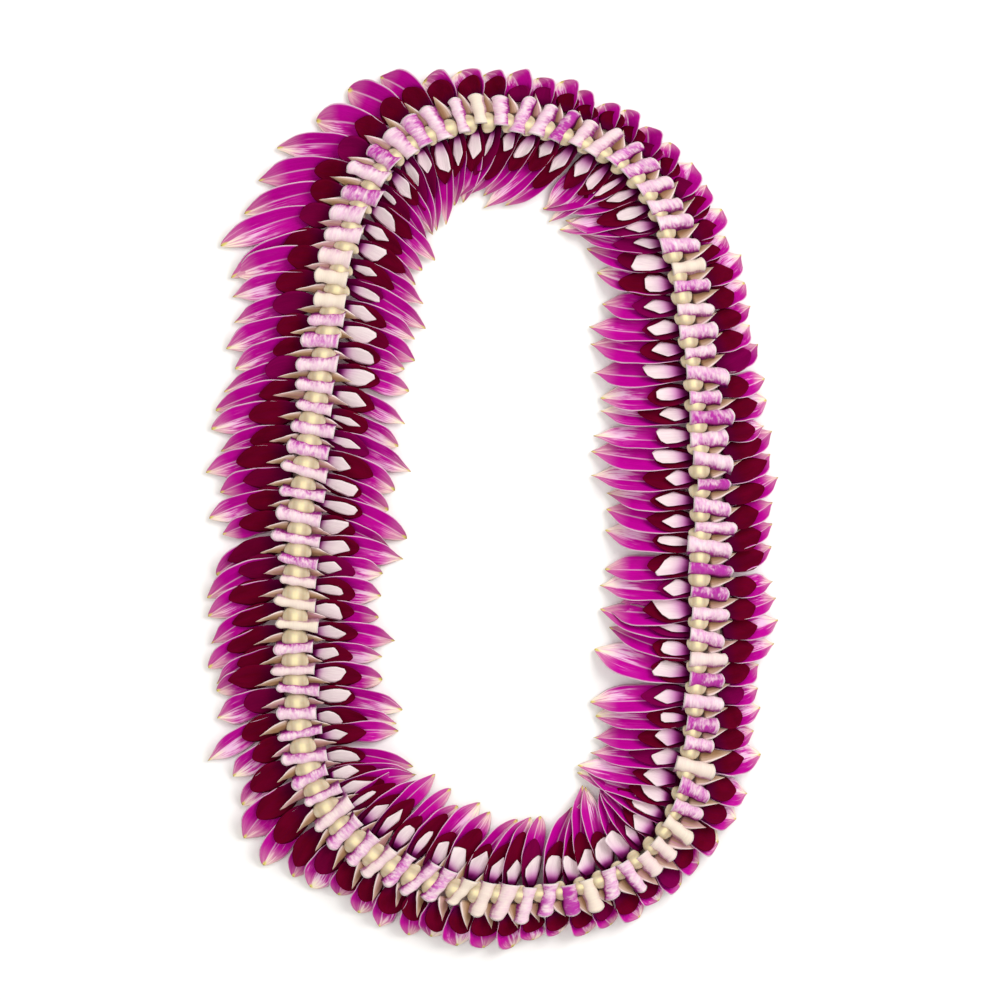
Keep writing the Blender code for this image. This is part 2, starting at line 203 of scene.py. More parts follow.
# %% Adding nodes
def plug(tree, socket, value):
    """Gives an input a plain value, or links it to a field, an output or a node's first one."""
    if isinstance(value, Field):
        value = value.socket
    if isinstance(value, bpy.types.Node):
        value = value.outputs[0]
    if isinstance(value, bpy.types.NodeSocket):
        tree.links.new(value, socket)
    else:
        socket.default_value = value


def add_node(tree, kind, inputs=None, **settings):
    """New node with its settings made and its inputs given by name or number."""
    node = tree.nodes.new(kind)
    for name, value in settings.items():
        setattr(node, name, value)
    for key, value in (inputs or {}).items():
        plug(tree, node.inputs[key], value)
    return node


print("helpers:", plug.__name__, add_node.__name__)

# %% Arithmetic that builds nodes
class Field:
    """A value at every point; arithmetic on it adds Math nodes to its tree."""

    def __init__(self, tree, socket):
        self.tree = tree
        self.socket = socket

    def math(self, operation, *others):
        node = add_node(self.tree, "ShaderNodeMath", operation=operation)
        for socket, value in zip(node.inputs, (self, *others)):
            plug(self.tree, socket, value)
        return Field(self.tree, node)

    def __neg__(self):
        return self.math("MULTIPLY", -1)

    def __rsub__(self, other):
        return (-self).math("ADD", other)

    __add__ = __radd__ = partialmethod(math, "ADD")
    __sub__ = partialmethod(math, "SUBTRACT")
    __mul__ = __rmul__ = partialmethod(math, "MULTIPLY")
    __truediv__ = partialmethod(math, "DIVIDE")
    __pow__ = partialmethod(math, "POWER")
    size = partialmethod(math, "ABSOLUTE")
    sin = partialmethod(math, "SINE")
    cos = partialmethod(math, "COSINE")

    def between(self, low, high):
        return self.math("MAXIMUM", low).math("MINIMUM", high)

    def smooth(self, start, end):
        """0 up to start, 1 from end on, and eased between them."""
        node = add_node(self.tree, "ShaderNodeMapRange",
                        {"Value": self, "From Min": start, "From Max": end},
                        interpolation_type="SMOOTHSTEP")
        return Field(self.tree, node)

    def fall(self, start, end):
        """1 up to start, 0 from end on."""
        return 1 - self.smooth(start, end)

    def curve(self, points, handles="AUTO"):
        """The height of a drawn curve at this value; VECTOR handles make straight runs."""
        node = add_node(self.tree, "ShaderNodeFloatCurve", {"Value": self})
        line = node.mapping.curves[0]
        for place in points[1:-1]:
            line.points.new(*place)
        line.points[0].location = points[0]
        line.points[len(line.points) - 1].location = points[-1]
        for point in line.points:
            point.handle_type = handles
        node.mapping.update()
        return Field(self.tree, node)


print("a field knows:", [name for name in vars(Field) if name[0] != "_"])

# %% Vectors inside a tree
def split(tree, vector):
    """The three numbers of a vector."""
    node = add_node(tree, "ShaderNodeSeparateXYZ", {0: vector})
    return [Field(tree, output) for output in node.outputs]


def add_up(tree, *terms):
    """Sum of vectors, each times a number."""
    total = None
    for vector, weight in terms:
        term = add_node(tree, "ShaderNodeVectorMath", {0: vector, "Scale": weight},
                        operation="SCALE")
        if total is None:
            total = term
        else:
            total = add_node(tree, "ShaderNodeVectorMath", {0: total, 1: term},
                             operation="ADD")
    return total


def upward(tree):
    """The direction up, as a vector of the tree."""
    return add_node(tree, "ShaderNodeCombineXYZ", {"Z": 1.0})


print("vector helpers:", split.__name__, add_up.__name__, upward.__name__)

# %% [markdown]
# ## Points that carry a bloom's sizes
#
# Geometry Nodes put something on every point of a mesh.  Here the mesh is one loose point for
# each bloom, and its attributes hold the sizes drawn above.  The attributes travel with
# whatever is placed on the point, so that a later node or a material can still read them.

# %% Points with attributes
SHAPING = ("centre", "along", "outward", "tip", "sweep", "bend", "fullness", "lean", "point",
           "slant", "length", "half", "tall", "skew", "cone", "size", "scale", "pick")


def add_object(name, data):
    """New object in the scene, at the origin."""
    thing = bpy.data.objects.new(name, data)
    bpy.context.scene.collection.objects.link(thing)
    return thing


def make_points(name, rows):
    """Object of loose points; each row is a dictionary of numbers and vectors."""
    mesh = bpy.data.meshes.new(name)
    mesh.vertices.add(len(rows))
    for key, sample in rows[0].items():
        kind = "FLOAT_VECTOR" if isinstance(sample, Vector) else "FLOAT"
        field = mesh.attributes.new(key, kind, "POINT")
        for slot, row in zip(field.data, rows):
            if kind == "FLOAT":
                slot.value = row[key]
            else:
                slot.vector = row[key]
    for vertex, row in zip(mesh.vertices, rows):
        vertex.co = row["centre"]
    return add_object(name, mesh)


print(len(SHAPING), "attributes that a finished mesh no longer needs")

# %% Trees with named inputs
def new_tree(name, family, inputs, output):
    """Empty tree with its named inputs as fields; inputs and output say their kind of socket."""
    tree = bpy.data.node_groups.new(name, family + "NodeTree")
    for label, kind in inputs.items():
        tree.interface.new_socket(label, in_out="INPUT", socket_type="NodeSocket" + kind)
    for label, kind in output.items():
        tree.interface.new_socket(label, in_out="OUTPUT", socket_type="NodeSocket" + kind)
    start = tree.nodes.new("NodeGroupInput")
    given = {label: Field(tree, start.outputs[label]) for label in inputs}
    return tree, given, tree.nodes.new("NodeGroupOutput")


def shaping_tree(name, inputs):
    """Geometry Nodes tree with a geometry going in and out."""
    geometry = {"Geometry": "Geometry"}
    return new_tree(name, "Geometry", geometry | inputs, geometry)


def sheet_tree(name, steps, numbers):
    """Tree with the inputs of a bent sheet: its divisions, its numbers and two materials."""
    return shaping_tree(name, dict.fromkeys(steps, "Int") | dict.fromkeys(numbers, "Float")
                        | dict.fromkeys(("Face", "Back"), "Material"))


def read(tree, kind, *names):
    """The named attributes, inside a node tree."""
    return [Field(tree, add_node(tree, "GeometryNodeInputNamedAttribute", {"Name": name},
                                 data_type=kind)) for name in names]


print("trees are made by", new_tree.__name__, "and read attributes with", read.__name__)

# %% From a tree to a finished piece
def run_tree(name, tree, rows, values):
    """Plain mesh object with what the tree makes on a point for each row."""
    points = make_points(name, rows)
    modifier = points.modifiers.new(name, "NODES")
    modifier.node_group = tree
    for item in tree.interface.items_tree:
        if item.in_out == "INPUT" and item.name in values:
            modifier[item.identifier] = values[item.name]
    bpy.context.view_layer.update()
    made = points.evaluated_get(bpy.context.evaluated_depsgraph_get())
    mesh = bpy.data.meshes.new_from_object(made)
    mesh.name = name
    bpy.data.objects.remove(points)
    shape = bmesh.new()
    shape.from_mesh(mesh)
    bmesh.ops.recalc_face_normals(shape, faces=shape.faces)
    bmesh.ops.triangulate(shape, faces=shape.faces)
    shape.to_mesh(mesh)
    shape.free()
    for key in [field.name for field in mesh.attributes]:
        if key in SHAPING:
            mesh.attributes.remove(mesh.attributes[key])
    mesh.shade_smooth()
    print(f"{name}: {len(mesh.polygons)} triangles")
    return add_object(name, mesh)


def grow(name, kind, tree, rows, values):
    """Makes a piece, attaches it to the root and hides the solids that it stands for."""
    piece = run_tree(name, tree, rows, values)
    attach(piece, "root")
    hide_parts(*(f"{kind}_{number:02d}" for number in range(1, SECTION_COUNT + 1)))


print("each piece stands for", SECTION_COUNT, "solids")

# %% [markdown]
# ## Two skins that meet at the margin
#
# A real petal is thin all over and thinnest at its margin.  So the tree bends one flat grid
# into the upper skin and a copy of it into the lower skin, which lie a little apart in the
# middle and meet at the edge.  Merging the points that fall together closes the blade.  The
# lower skin can have a material of its own, as the back of an orchid petal is paler.

# %% From a bent grid to a closed blade
MERGE = 2e-6              # metres


def blade_map(tree):
    """From root to tip, 0 to 1, and from edge to edge, -1 to 1."""
    u, across, _ = split(tree, *read(tree, "FLOAT_VECTOR", "UVMap"))
    return u, across * 2 - 1


def skins(tree, given, end, place, body, steps, gather=1.0):
    """Grid on every point, bent to both skins and closed.

    The rule in place bends it for a depth under the upper skin, body is the depth of the lower
    skin, and the steps divide the grid.  The rows gather towards the far end if gather is over 1.
    """
    grid = add_node(tree, "GeometryNodeMeshGrid", {
        "Vertices X": given[steps[0]], "Vertices Y": given[steps[1]]})
    row, column, _ = split(tree, grid.outputs["UV Map"])
    chart = add_node(tree, "ShaderNodeCombineXYZ", {
        "X": 1 - (1 - row).math("MAXIMUM", 0.0) ** gather, "Y": column})
    drawn = add_node(tree, "GeometryNodeStoreNamedAttribute", {
        "Geometry": grid, "Name": "UVMap", "Value": chart}, data_type="FLOAT2", domain="CORNER")
    placed = add_node(tree, "GeometryNodeInstanceOnPoints", {
        "Points": given["Geometry"], "Instance": drawn})
    real = add_node(tree, "GeometryNodeRealizeInstances", {"Geometry": placed})
    both = add_node(tree, "GeometryNodeJoinGeometry")
    for depth, material in ((0, "Face"), (body, "Back")):
        bent = add_node(tree, "GeometryNodeSetPosition", {
            "Geometry": real, "Position": place(depth)})
        coloured = add_node(tree, "GeometryNodeSetMaterial", {
            "Geometry": bent, "Material": given[material]})
        plug(tree, both.inputs[0], coloured)
    closed = add_node(tree, "GeometryNodeMergeByDistance", {"Geometry": both, "Distance": MERGE})
    plug(tree, end.inputs["Geometry"], closed)


print(f"skins closer than {1000 * MERGE} mm are merged")

# %% [markdown]
# ## The blade
#
# Petals, lobes, patches and folds all are blades that grow from the side of the lei.  A blade
# is described by how far it reaches, how wide it is along its length, how it tilts, and how it
# cups and waves.  The upstream edge is always the higher one, so that each bloom lies shingled
# on the last.  One tree serves them all, and each kind has its own outline curve and numbers.

# %% Inputs of a blade
CORE_REACH = 7 * MM       # from the loop to where the blades leave the bases
BROAD_REACH = 15 * MM     # a blade stays level at least this far
BROAD_SHARE = 0.42        # and to this share of its reach
ROOT_HEIGHT = 7.5 * MM
DROOP = 5 * MM            # how much lower its tip is
ROOM_LIMITS = (0.35, 1.35)
ROW_GATHER = 1.5
BLADE_STEPS = ("Steps along", "Steps across")
BLADE_NUMBERS = ("Start", "Share", "Limit", "Half width", "Tilt at root", "Tilt at tip", "Lift",
                 "Rise", "Cup", "Pocket", "Wave", "Curl", "Thickness", "Shift")
PLAIN_BLADE = {"Share": 1.0, "Limit": 1.0, "Rise": 0.0, "Curl": 0.0, "Shift": 0.0,
               "Thickness": 0.6 * MM}
print(len(BLADE_NUMBERS), "numbers describe a blade")

# %% The tree of a blade
def blade_tree(name, round_outline, sharp_outline, handles="AUTO"):
    """Tree that grows one blade on every point; the outlines run from root to tip."""
    tree, given, end = sheet_tree(name, BLADE_STEPS, BLADE_NUMBERS)
    u, v = blade_map(tree)
    tip, sweep, bend, length, fullness = read(
        tree, "FLOAT", "tip", "sweep", "bend", "length", "fullness")
    seed, lean, point, pocket, slant = read(
        tree, "FLOAT", "seed", "lean", "point", "pocket", "slant")
    centre, along, outward = read(tree, "FLOAT_VECTOR", "centre", "along", "outward")

    finish = (tip * given["Share"]).math("MINIMUM", given["Limit"] * length)
    reach = given["Start"] + (finish - given["Start"]) * u
    room = (1 - bend * reach).between(*ROOM_LIMITS)
    outline = (u.curve(round_outline, handles) * (1 - point)
               + u.curve(sharp_outline, handles) * point)
    half = given["Half width"] * fullness * room ** 0.55 * outline
    swept = sweep * (reach / tip) ** 0.6

    far = (tip * BROAD_SHARE).math("MAXIMUM", BROAD_REACH)
    beyond = ((reach - far) / (tip - far).math("MAXIMUM", MM)).between(0, 1)
    height = ROOT_HEIGHT - DROOP * beyond ** 1.6

    rough = add_up(tree, (outward, swept * 1.6), (along, -1))
    upstream = add_node(tree, "ShaderNodeVectorMath", {0: rough}, operation="NORMALIZE")
    tilt = given["Tilt at root"] + (given["Tilt at tip"] - given["Tilt at root"]) * u + lean
    rise = upward(tree)
    width = add_up(tree, (upstream, tilt.cos()), (rise, tilt.sin()))
    normal = add_up(tree, (rise, tilt.cos()), (upstream, tilt.sin() * -1))

    side = v.size()
    ripple = (u * 9 + seed * 40).sin() * v * side + (u * 23 + seed * 90).sin() * v ** 2 * 0.3
    cup = given["Cup"] + given["Pocket"] * pocket
    offset = (given["Lift"] * (1 + given["Rise"] * u) * room + cup * half * (side ** 1.2 - 0.4)
              + given["Wave"] * ripple * u.smooth(0, 0.4)
              + given["Curl"] * v.smooth(0.55, 1) * (1 - u.smooth(0.2, 0.9)))
    body = given["Thickness"] * (1 - v ** 6) * (1 - u ** 12) * (1 - (1 - u) ** 20)

    def place(depth):
        return add_up(tree, (centre, 1), (along, swept * reach + given["Shift"]),
                      (outward, reach + slant * v * half * u), (rise, height),
                      (width, v * half), (normal, offset - depth))

    skins(tree, given, end, place, body, BLADE_STEPS, ROW_GATHER)
    return tree


print("a blade's tree is written by", blade_tree.__name__)

# %% [markdown]
# ## What differs from bloom to bloom
#
# Tips are pointed on some stretches of the loop and round on others, throat patches are deep
# or flat, and blades lean together in twos and threes, as they do where a lei was handled.  The
# tables say how each of these changes on the way round, and a seeded draw adds the rest.

# %% Forms round the loop
POINTED = {
    INNER: [(0, 0.7), (0.3, 0.6), (0.5, 0.5), (0.7, 0.95), (0.9, 0.8)],
    OUTER: [(0, 0.25), (0.05, 0.6), (0.12, 0.65), (0.25, 0.75), (0.4, 0.6), (0.5, 0.2),
            (0.6, 0.7), (0.7, 0.95), (0.86, 0.9), (0.94, 0.4)],
}
POCKETS = [(0, 0.5), (0.12, 0.1), (0.4, 0.15), (0.55, 0.7), (0.7, 0.9), (0.9, 0.8)]
NEW_CLUMP = 0.42          # chance that a bloom doesn't lean as its neighbour does


def clumps(draw):
    """A lean from -1 to 1 for every bloom."""
    leans = [draw.uniform(-1, 1)]
    while len(leans) < len(blooms):
        leans.append(draw.uniform(-1, 1) if draw.random() < NEW_CLUMP else leans[-1])
    return leans


CLUMPS = {side: clumps(random.Random(SEED + 5 + side)) for side in (INNER, OUTER)}
print("clumps:", [len(set(CLUMPS[side])) for side in (INNER, OUTER)])

# %% Sizes for a row of blades
UPRIGHT = [(0, 0)]
FORM_SPREAD = 0.3
SWAY = 0.04
LEAN_SPREAD = 4           # degrees
TIP_SHARES = (0.86, 1.06)
FULLNESS_SHARES = (0.88, 1.12)
LENGTH_SHARES = (0.84, 1.14)


def share(value):
    """The value, kept between 0 and 1."""
    return min(1.0, max(0.0, value))


def arms(side, draw, turn, leans=UPRIGHT, slant=0.2):
    """A row of sizes for the blades on one side of every bloom."""
    rows = []
    for bloom, clump in zip(blooms, CLUMPS[side]):
        sweep = bloom.sweep[side] + blend(leans, bloom.fraction) + turn * clump
        point = blend(POINTED[side], bloom.fraction) + draw.uniform(-FORM_SPREAD, FORM_SPREAD)
        pocket = blend(POCKETS, bloom.fraction) + draw.uniform(-FORM_SPREAD, FORM_SPREAD)
        rows.append({
            "centre": bloom.centre, "along": bloom.along, "outward": bloom.inward * side,
            "tip": bloom.reach[side] * draw.uniform(*TIP_SHARES),
            "sweep": sweep + draw.uniform(-SWAY, SWAY), "bend": bloom.bend * side,
            "fullness": bloom.fullness * draw.uniform(*FULLNESS_SHARES),
            "seed": draw.random(), "tone": draw.random(),
            "lean": math.radians(draw.uniform(-LEAN_SPREAD, LEAN_SPREAD)),
            "slant": draw.uniform(-slant, slant), "length": draw.uniform(*LENGTH_SHARES),
            "point": share(point), "pocket": share(pocket),
        })
    return rows


def scaled(rows, key, stops):
    """The same rows with one size larger or smaller by where on the loop they are."""
    for bloom, row in zip(blooms, rows):
        row[key] *= blend(stops, bloom.fraction)
    return rows


print("sizes in a row:", len(arms(INNER, random.Random(SEED), 0)[0]))

# %% [markdown]
# ## Effects that several finishes share
#
# Orchid petals have fine veins that run along them, softer clouds of colour, and pale margins.
# Each of these is a shader group with named inputs, built once, and every finish sets its own
# values.  The groups read the blade's own map, in which one side runs from root to tip and the
# other from edge to edge, so a pattern follows every bend of the surface.

# %% Shader groups
def new_group(name, *inputs):
    """Empty shader group with number inputs and one number output called Value."""
    return new_tree(name, "Shader", dict.fromkeys(inputs, "Float"), {"Value": "Float"})


def noise_group(name, detail):
    """Noise over a blade's map, with its own counts along and across."""
    group, given, end = new_group(name, "Along", "Across", "Seed", "Per length", "Per width")
    place = add_node(group, "ShaderNodeCombineXYZ", {
        "X": given["Along"] * given["Per length"], "Y": given["Across"] * given["Per width"],
        "Z": given["Seed"] * 60})
    noise = add_node(group, "ShaderNodeTexNoise", {
        "Vector": place, "Scale": 1.0, "Detail": detail, "Roughness": 0.6})
    plug(group, end.inputs["Value"], Field(group, noise).smooth(0.36, 0.64))
    return group


def margin_group():
    """1 at the two long edges of a blade, 0 further in than the width given."""
    group, given, end = new_group("Margin", "Across", "Width")
    inside = 1 - (given["Across"] * 2 - 1).size()
    plug(group, end.inputs["Value"], inside.fall(0, given["Width"]))
    return group


VEINS = noise_group("Veins", 3.0)
CLOUDS = noise_group("Clouds", 2.0)
MARGIN = margin_group()
print("shared groups:", VEINS.name, CLOUDS.name, MARGIN.name)

# %% [markdown]
# ## A finish in the making
#
# Every finish starts from a Principled shader.  A small class keeps its node tree and offers
# the steps that all of them use: reading the map and the bloom's own numbers, placing a
# shared group, laying one colour over another by a mask, and raising the veins a little.

# %% Colours and plain materials
def tint(red, green, blue):
    """Linear colour from the usual 0 to 255 numbers."""
    parts = (c / 255 for c in (red, green, blue))
    return (*(c / 12.92 if c <= 0.04045 else ((c + 0.055) / 1.055) ** 2.4 for c in parts), 1)


def new_material(name, roughness):
    """A material and its Principled shader."""
    material = bpy.data.materials.new(name)
    material.use_nodes = True
    shader = material.node_tree.nodes["Principled BSDF"]
    shader.inputs["Roughness"].default_value = roughness
    return material, shader


print("middle grey is", round(tint(128, 128, 128)[0], 2), "of the light")

# %% A material in layers
class Finish:
    """A material whose colour is laid on in layers."""

    def __init__(self, name, colour, roughness, gloss, **values):
        self.colour = colour
        self.material, self.shader = new_material(name, roughness)
        self.tree = self.material.node_tree
        self.shader.inputs["Specular IOR Level"].default_value = gloss
        for label, value in values.items():
            self.shader.inputs[label.replace("_", " ")].default_value = value
        uv = add_node(self.tree, "ShaderNodeUVMap", uv_map="UVMap")
        self.u, self.across, _ = split(self.tree, uv)
        self.v = self.across * 2 - 1
        self.side = self.v.size()
        self.seed, self.tone = (self.attribute(key) for key in ("seed", "tone"))

    def attribute(self, name):
        node = add_node(self.tree, "ShaderNodeAttribute", attribute_name=name)
        return Field(self.tree, node.outputs["Fac"])

    def group(self, group, inputs):
        return Field(self.tree, add_node(self.tree, "ShaderNodeGroup", inputs,
                                         node_tree=group))

    def noise(self, group, length, count):
        return self.group(group, {"Along": self.u, "Across": self.across, "Seed": self.seed,
                                  "Per length": length, "Per width": count})

    def margin(self, width):
        return self.group(MARGIN, {"Across": self.across, "Width": width})

    def lay(self, mask, colour):
        """Lays a colour over the ones before it, as far as the mask says."""
        node = add_node(self.tree, "ShaderNodeMix", {0: mask, 6: self.colour, 7: colour},
                        data_type="RGBA")
        self.colour = node.outputs[2]

    def done(self, height, raised=0.1 * MM):
        """The material, with its colour and the small relief plugged in."""
        plug(self.tree, self.shader.inputs["Base Color"], self.colour)
        bump = add_node(self.tree, "ShaderNodeBump", {
            "Height": height, "Distance": raised, "Strength": 0.6})
        plug(self.tree, self.shader.inputs["Normal"], bump)
        return self.material


print("a finish can:", [name for name in vars(Finish) if name[0] != "_"])

# %% [markdown]
# ## Finishes of the petals
#
# The face of a petal is magenta.  Its middle pales towards the tip, its margins are nearly
# white, and the tip is yellow green with a small brown point.  The back is paler and greyer.
# How pale a petal gets differs from bloom to bloom, which is what the tone is for.

# %% Magenta petals
MAGENTA = tint(190, 0, 150)
DEEP_MAGENTA = tint(148, 0, 110)
ROSE = tint(214, 74, 180)
PALE_PINK = tint(238, 196, 226)
MARGIN_PINK = tint(248, 226, 236)
TIP_CREAM = tint(244, 232, 202)
LEAF_TIP = tint(218, 206, 108)
DRY_POINT = tint(146, 116, 34)


def petal_face():
    finish = Finish("magenta_petal", MAGENTA, 0.55, 0.06)
    u, v, tone = finish.u, finish.v, finish.tone
    veins = finish.noise(VEINS, 2.5, 26)
    streaks = finish.noise(VEINS, 3.5, 9)
    clouds = finish.noise(CLOUDS, 3, 2)
    downstream = v.fall(-0.15, 0.2)
    pale = u.smooth(0.35, 0.85) * (downstream * (0.2 + tone * 0.95) + (tone - 0.8) * 0.8
                                   + (streaks - 0.5) * 0.9 + (veins - 0.5) * 0.7)
    finish.lay(u.fall(0.1, 0.45) * 0.3, DEEP_MAGENTA)
    finish.lay(veins * 0.25 + clouds * 0.1, DEEP_MAGENTA)
    finish.lay((pale * 1.5 - 0.2).between(0, 1) * 0.85, ROSE)
    finish.lay((pale * 1.5 - 0.7).between(0, 1), PALE_PINK)
    rib = finish.side.fall(0, 0.07) * u.smooth(0.25, 0.6)
    finish.lay(rib * 0.6, PALE_PINK)
    finish.lay(finish.margin(0.13) * u.smooth(0, 0.3) * 0.9, MARGIN_PINK)
    creamy = u.smooth(0.72, 0.96) * (0.3 + downstream * 0.8) * (0.45 + streaks * 0.6)
    finish.lay((creamy * (0.4 + tone * 0.7)).between(0, 1), TIP_CREAM)
    near_tip = u - finish.side * 0.08
    finish.lay(near_tip.smooth(0.92, 0.965), LEAF_TIP)
    finish.lay(near_tip.smooth(0.97, 0.985), DRY_POINT)
    return finish.done(veins)


def petal_back():
    finish = Finish("petal_back", tint(236, 206, 220), 0.5, 0.1)
    veins = finish.noise(VEINS, 2, 20)
    finish.lay(veins * 0.6, tint(196, 110, 170))
    finish.lay(finish.u.smooth(0.9, 0.98), LEAF_TIP)
    return finish.done(veins)


PETAL_FACE = petal_face()
PETAL_BACK = petal_back()
print("finishes:", PETAL_FACE.name, PETAL_BACK.name)

# %% [markdown]
# ## Finishes of the lobe and the throat patch
#
# The lip lobes are matte and velvety, close to black cherry, and more purple at their root.
# The throat patch is ivory, with fine grey veins.  Towards its root it turns through lilac to a
# deep purple where it goes down into the throat; the purple is its own colour, the darkening is
# partly painted shade, and the deeper its pocket, the further out both reach.

# %% Burgundy and ivory
BURGUNDY = tint(92, 0, 24)
CHERRY = tint(116, 0, 38)
VELVET = tint(128, 0, 80)
PLUM = tint(82, 0, 52)
LILAC = tint(208, 122, 192)
STREAK = tint(168, 16, 146)
MOUTH = tint(84, 0, 62)


def lobe_face():
    finish = Finish("burgundy_lobe", BURGUNDY, 0.9, 0.03)
    veins = finish.noise(VEINS, 1.5, 16)
    finish.lay(finish.noise(CLOUDS, 2, 2) * 0.4, CHERRY)
    finish.lay(finish.tone.smooth(0.7, 1) * 0.8, VELVET)
    finish.lay(veins * 0.2, PLUM)
    finish.lay(finish.u.fall(0.1, 0.5) * 0.8, PLUM)
    return finish.done(veins, 0.05 * MM)


def patch_face():
    finish = Finish("throat_patch", tint(238, 222, 222), 0.5, 0.1)
    veins = finish.noise(VEINS, 2, 14)
    # How far the root's purple and its painted shade reach grows with the pocket's depth and the
    # tone.
    deep = finish.attribute("pocket") * 0.55 + finish.tone * 0.45
    finish.lay(veins * 0.35, tint(218, 192, 202))
    finish.lay(finish.u.fall(0.15, 0.45 + deep * 0.5) * deep, LILAC)
    finish.lay(finish.u.fall(0.1, 0.2 + deep * 0.5), STREAK)
    # Deep purple at the root: its own purple, partly painted shade where it goes down into the
    # throat.
    finish.lay(finish.u.fall(0.08, 0.13 + deep * 0.35), MOUTH)
    return finish.done(veins)


LOBE_FACE = lobe_face()
PATCH_FACE = patch_face()
print("finishes:", LOBE_FACE.name, PATCH_FACE.name)

# %% [markdown]
# ## Finish of the rolled petal
#
# Some rolls are plain cream, most are ivory flushed with lilac, and a few are purple nearly
# all over.  The tone of the bloom says which.  Purple streaks run round the roll and are
# strongest on its upstream side, low down, and a narrow white lip edges both of its ends.
# Its foot, where it comes out from under the column before it, is deep purple: partly its own
# colour, partly painted shade.

# %% Ivory with purple streaks
IVORY = tint(238, 218, 220)
CREAM = tint(232, 218, 198)


def roll_face():
    finish = Finish("rolled_petal", CREAM, 0.5, 0.12)
    u, tone = finish.u, finish.tone
    veins = finish.noise(VEINS, 5, 15)
    fine = finish.noise(VEINS, 2, 34)
    clouds = finish.noise(CLOUDS, 2.5, 3.5)
    tinted = tone.smooth(0, 0.35)
    finish.lay(tinted, IVORY)
    finish.lay(fine * 0.3, tint(216, 190, 190))
    rim = finish.margin(0.16)
    flush = tinted * 0.3 + tone.smooth(0.35, 0.8) * 0.45
    blotch = flush * (veins * 0.8 + clouds * 0.6) * (1 - rim)
    finish.lay(blotch.between(0, 1), LILAC)
    upstream = u.fall(0.2, 0.4 + tone * 0.25 + (clouds - 0.5) * 0.2)
    strong = tone.smooth(0.72, 0.95) * (0.35 + clouds * 0.5 + veins * 0.3)
    streaks = (upstream * tinted * (0.3 + veins * 0.9) + strong).between(0, 1)
    finish.lay(streaks * (1 - rim * 0.8) * 0.9, STREAK)
    depth = tone.smooth(0.1, 0.75)
    # Foot of the roll, where it comes out from under the column before it: deep purple, partly
    # its own colour and partly painted shade.
    foot_purple_and_shade = (0.3 + depth * 0.5 + veins * 0.3).between(0, 1)
    finish.lay(u.fall(0.2, 0.3) * foot_purple_and_shade, STREAK)
    # Deepest at the very foot: purple colour with painted shade.
    finish.lay(u.fall(0.1, 0.22) * (0.25 + depth * 0.75), MOUTH)
    finish.lay(finish.margin(0.06) * u.smooth(0.2, 0.32) * 0.85, tint(250, 238, 240))
    return finish.done(fine)


def roll_back():
    finish = Finish("roll_inside", IVORY, 0.6, 0.2)
    veins = finish.noise(VEINS, 1.5, 24)
    finish.lay(0.55 + veins * 0.4, tint(112, 8, 96))
    return finish.done(veins)


ROLL_FACE = roll_face()
ROLL_BACK = roll_back()
print("finishes:", ROLL_FACE.name, ROLL_BACK.name)

# %% [markdown]
# ## Finishes of the fold, the column and the base
#
# A fold is dull beige, with painted shade browning the inside of its crease, and nearly white
# along its upstream edge, a pale margin with painted light on the ridge.  The column is waxy
# cream and lets a little light through; painted shade greys its sides along the grooves and
# darkens its front end, and the yellow glow in its middle is partly its own yellow, partly a
# painted highlight.  The base is hidden, so it only gets plain flesh with a few purple veins.

# %% Beige and cream
def fold_face():
    finish = Finish("beige_fold", tint(202, 174, 152), 0.6, 0.1)
    veins = finish.noise(VEINS, 1.5, 14)
    finish.lay(veins * 0.6, tint(168, 134, 108))
    # Painted shade: brown inside the crease, over its downstream half near the root.
    inside = finish.v.fall(0, 0.7) * finish.u.fall(0.5, 1)
    finish.lay(inside * 0.85, tint(146, 106, 68))
    finish.lay(finish.tone.smooth(0.5, 1) * veins * 0.5, tint(200, 120, 176))
    # Nearly white upstream edge: a pale margin, partly painted light on the ridge.
    finish.lay(finish.v.smooth(0.6, 0.85) * 0.85, tint(250, 230, 228))
    return finish.done(veins)


def column_face():
    finish = Finish("cream_column", tint(204, 188, 158), 0.45, 0.2, Subsurface_Weight=0.1,
                    Subsurface_Scale=0.001)
    side = finish.side
    clouds = finish.noise(CLOUDS, 2, 2)
    finish.lay(clouds * 0.5, tint(180, 162, 130))
    # Painted shade: greyer along the grooves beside the middle ridge.
    finish.lay((side - 0.55).size().fall(0, 0.2) * 0.4, tint(168, 148, 112))
    finish.lay(side.smooth(0.78, 0.95) * 0.7, tint(228, 214, 186))
    # Yellow glow in the middle: partly its own yellow, partly a painted highlight.
    middle = side.fall(0.1, 0.4) * (finish.u - 0.58).size().fall(0.08, 0.4)
    finish.lay(middle * 0.85, tint(240, 226, 178))
    # Painted shade: darker at its front end, where it meets the next roll.
    finish.lay(finish.u.smooth(0.78, 0.98) * 0.6, tint(154, 134, 92))
    return finish.done(clouds)


def base_face():
    finish = Finish("bloom_base", tint(206, 190, 170), 0.5, 0.3)
    veins = finish.noise(VEINS, 2, 12)
    finish.lay(veins * 0.5, tint(150, 70, 120))
    return finish.done(veins)


FOLD_FACE, COLUMN_FACE, BASE_FACE = fold_face(), column_face(), base_face()
print("finishes in all:", len(bpy.data.materials))

# %% [markdown]
# ## The petals and the lobes
#
# The petals start square to the thread and curve downstream.  The lobes lie on the petals and
# are shorter and rounder.  All of them come from the blade tree, so only outlines and numbers
# are left to choose.

